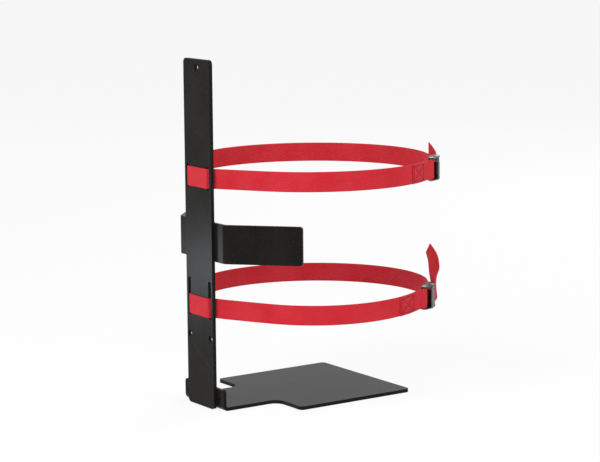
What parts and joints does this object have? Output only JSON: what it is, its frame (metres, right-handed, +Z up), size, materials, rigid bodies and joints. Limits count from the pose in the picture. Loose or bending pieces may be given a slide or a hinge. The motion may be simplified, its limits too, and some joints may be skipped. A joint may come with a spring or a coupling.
{
  "type": "water cooler rack",
  "caption": "Upright bracket that carries a round drinks cooler: slotted back plate, winged cradle bar, shelf bracket, and webbing straps closed by cam buckles.",
  "frame": {"origin": "underside of the shelf bracket, on the centre line of the cooler the rack carries", "axes": "+Z up, back plate towards -Y, buckles and loose strap ends on the +X side"},
  "size_m": [0.3208, 0.3416, 0.4572],
  "materials": {
    "black_steel": "satin black paint",
    "red_webbing": "woven",
    "dark_steel": "dark plated",
    "pin_steel": "zinc plated",
    "grey_alloy": "cast"
  },
  "bodies": {
    "rack": {"back_plate": "black_steel", "cradle_bar": "black_steel", "shelf_bracket": "black_steel", "cradle_welds": "black_steel", "bracket_weld": "black_steel", "upper_strap": "red_webbing", "lower_strap": "red_webbing", "upper_buckle_frame": "dark_steel", "upper_buckle_loop_bar": "pin_steel", "upper_buckle_lever_pin": "pin_steel", "upper_buckle_spring": "pin_steel", "lower_buckle_frame": "dark_steel", "lower_buckle_loop_bar": "pin_steel", "lower_buckle_lever_pin": "pin_steel", "lower_buckle_spring": "pin_steel"},
    "upper_lever": {"upper_buckle_cam_lever": "grey_alloy"},
    "lower_lever": {"lower_buckle_cam_lever": "grey_alloy"}
  },
  "joints": [
    {"name": "upper_lever_pivot", "type": "hinge", "parent": "rack", "child": "upper_lever", "pos_m": [0.11183, 0.12648, 0.304], "axis": [0, 0, -1], "range_deg": [0, 20], "stiffness_Nm_per_rad": 0.08, "springref_deg": -40.11, "deforming": ["upper_buckle_spring"]},
    {"name": "lower_lever_pivot", "type": "hinge", "parent": "rack", "child": "lower_lever", "pos_m": [0.1247, 0.10855, 0.134], "axis": [0, 0, -1], "range_deg": [0, 20], "stiffness_Nm_per_rad": 0.08, "springref_deg": -40.11, "deforming": ["lower_buckle_spring"]}
  ]
}
